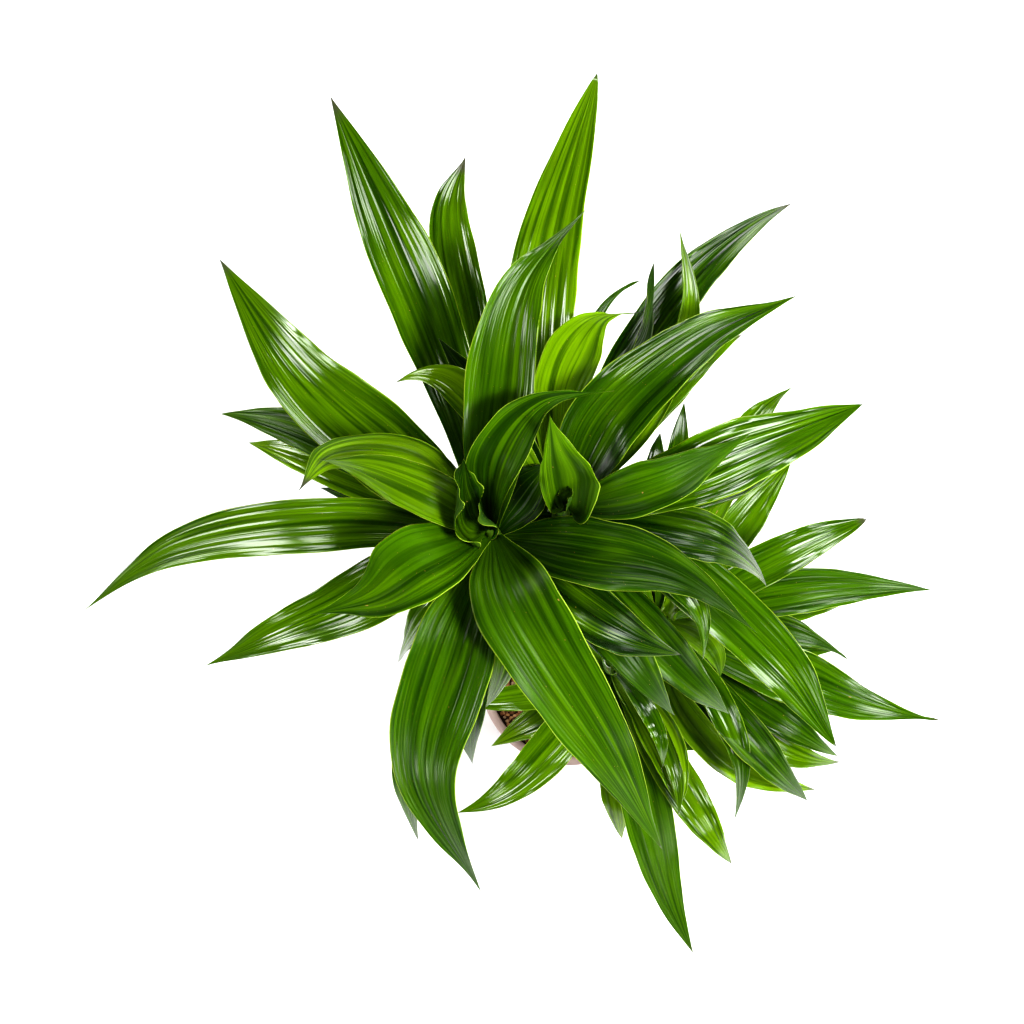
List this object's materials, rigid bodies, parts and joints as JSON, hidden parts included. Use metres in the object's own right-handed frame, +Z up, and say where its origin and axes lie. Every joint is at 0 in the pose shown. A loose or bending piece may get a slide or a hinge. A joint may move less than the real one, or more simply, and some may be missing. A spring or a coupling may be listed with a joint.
{
  "type": "potted green jewel dracaena",
  "caption": "Potted cane plant with broad glossy leaves: a round tapered pot filled with granules, a tall and a short cane, and leafy heads with rolled young leaves.",
  "frame": {"origin": "middle of the pot's flat underside", "axes": "+Z up; the taller cane leans towards -X and +Y, the shorter one stands on the +X side"},
  "size_m": [0.839, 0.7787, 0.9904],
  "materials": {
    "pot": "matte",
    "substrate": "matte",
    "bark": "matte",
    "leaf": "satin"
  },
  "bodies": {
    "root": {"pot": "pot", "substrate": "substrate", "cane_tall": "bark", "cane_short": "bark", "head_upper_left": "leaf", "head_upper_right": "leaf", "head_lower_right": "leaf", "head_lower_left": "leaf"}
  },
  "joints": []
}
